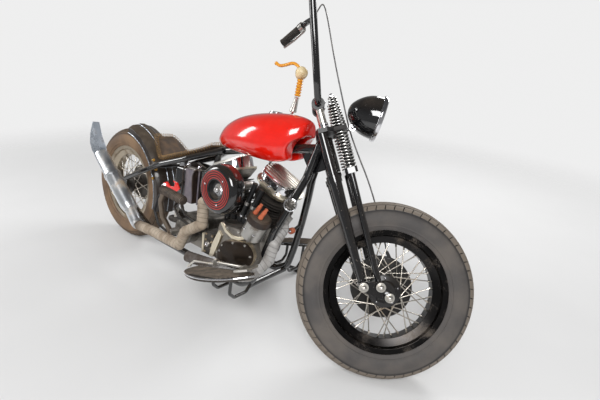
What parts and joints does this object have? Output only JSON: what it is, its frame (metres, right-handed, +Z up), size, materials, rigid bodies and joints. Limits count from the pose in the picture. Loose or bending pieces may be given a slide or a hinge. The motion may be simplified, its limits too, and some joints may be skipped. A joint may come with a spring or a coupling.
{
  "type": "chopper motorcycle",
  "caption": "Rigid-frame chopper motorcycle with a springer fork, high bars, an open V-twin and an upswept muffler, leaning on its side stand.",
  "frame": {"origin": "centre of the footprint box, on the floor", "axes": "+X towards the front of the machine, +Y towards the rider's left, +Z up"},
  "size_m": [2.203, 0.8548, 1.4763],
  "materials": {
    "black_enamel": "gloss",
    "black_satin": "satin, dusty",
    "red_paint": "gloss",
    "brown_leather": "worn",
    "chrome": "polished",
    "steel": "used",
    "satin_steel": "satin",
    "cast_alloy": "sand cast, stained",
    "grey_plastic": "matt",
    "grey_wrap": "woven tape",
    "tan_wrap": "woven tape",
    "rubber": "matt",
    "tyre": "dusty",
    "brown_tyre": "dusty brown",
    "black_rim": "gloss",
    "lens": "clear"
  },
  "bodies": {
    "chassis": {"frame": "black_enamel", "seat": "brown_leather", "rear_fender": "black_enamel", "fuel_tank": "red_paint", "fuel_cap": "chrome", "oil_tank": "black_satin", "battery": "grey_plastic", "tail_lamp": "black_satin", "crankcase": "cast_alloy", "cam_cover": "black_satin", "magneto": "cast_alloy", "cylinders": "cast_alloy", "rocker_boxes": "chrome", "pushrods": "black_satin", "carburettor": "cast_alloy", "air_cleaner": "black_enamel", "gearbox": "cast_alloy", "kick_starter": "steel", "primary_cover": "black_satin", "drive_chain": "steel", "front_exhaust": "grey_wrap", "rear_exhaust": "tan_wrap", "muffler": "satin_steel", "floorboards": "rubber", "brake_pedal": "steel", "hand_shift": "steel", "horn": "steel", "rear_axle": "steel"},
    "fork": {"rigid_fork": "black_enamel", "top_clamp": "black_enamel", "spring_fork": "black_enamel", "rockers": "black_enamel", "fork_springs": "steel", "handlebar": "black_enamel", "grips": "rubber", "hand_levers": "chrome", "headlight": "black_enamel", "headlight_rim": "chrome", "headlight_glass": "lens", "front_axle": "chrome", "front_brake_plate": "cast_alloy", "front_brake_cable": "rubber"},
    "front_wheel": {"front_tyre": "tyre", "front_wheel": "black_rim"},
    "rear_wheel": {"rear_tyre": "brown_tyre", "rear_wheel": "chrome", "rear_sprocket": "steel"},
    "side_stand": {"side_stand": "black_satin"}
  },
  "joints": [
    {"name": "steering", "type": "hinge", "parent": "chassis", "child": "fork", "pos_m": [0.51122, 0.00574, 0.73439], "axis": [-0.4811, 0.1519, 0.8634], "range_deg": [-66, 0]},
    {"name": "front_wheel_spin", "type": "hinge", "parent": "fork", "child": "front_wheel", "pos_m": [0.81123, -0.03505, 0.30014], "axis": [-0.4781, 0.7801, -0.4036], "continuous": true},
    {"name": "rear_wheel_spin", "type": "hinge", "parent": "chassis", "child": "rear_wheel", "pos_m": [-0.77964, -0.06866, 0.3181], "axis": [-0.0008, 0.9848, -0.1736], "continuous": true},
    {"name": "side_stand_fold", "type": "hinge", "parent": "chassis", "child": "side_stand", "pos_m": [0.17947, 0.05406, 0.11153], "axis": [0.1005, 0.5748, 0.8121], "range_deg": [0, 100]}
  ]
}
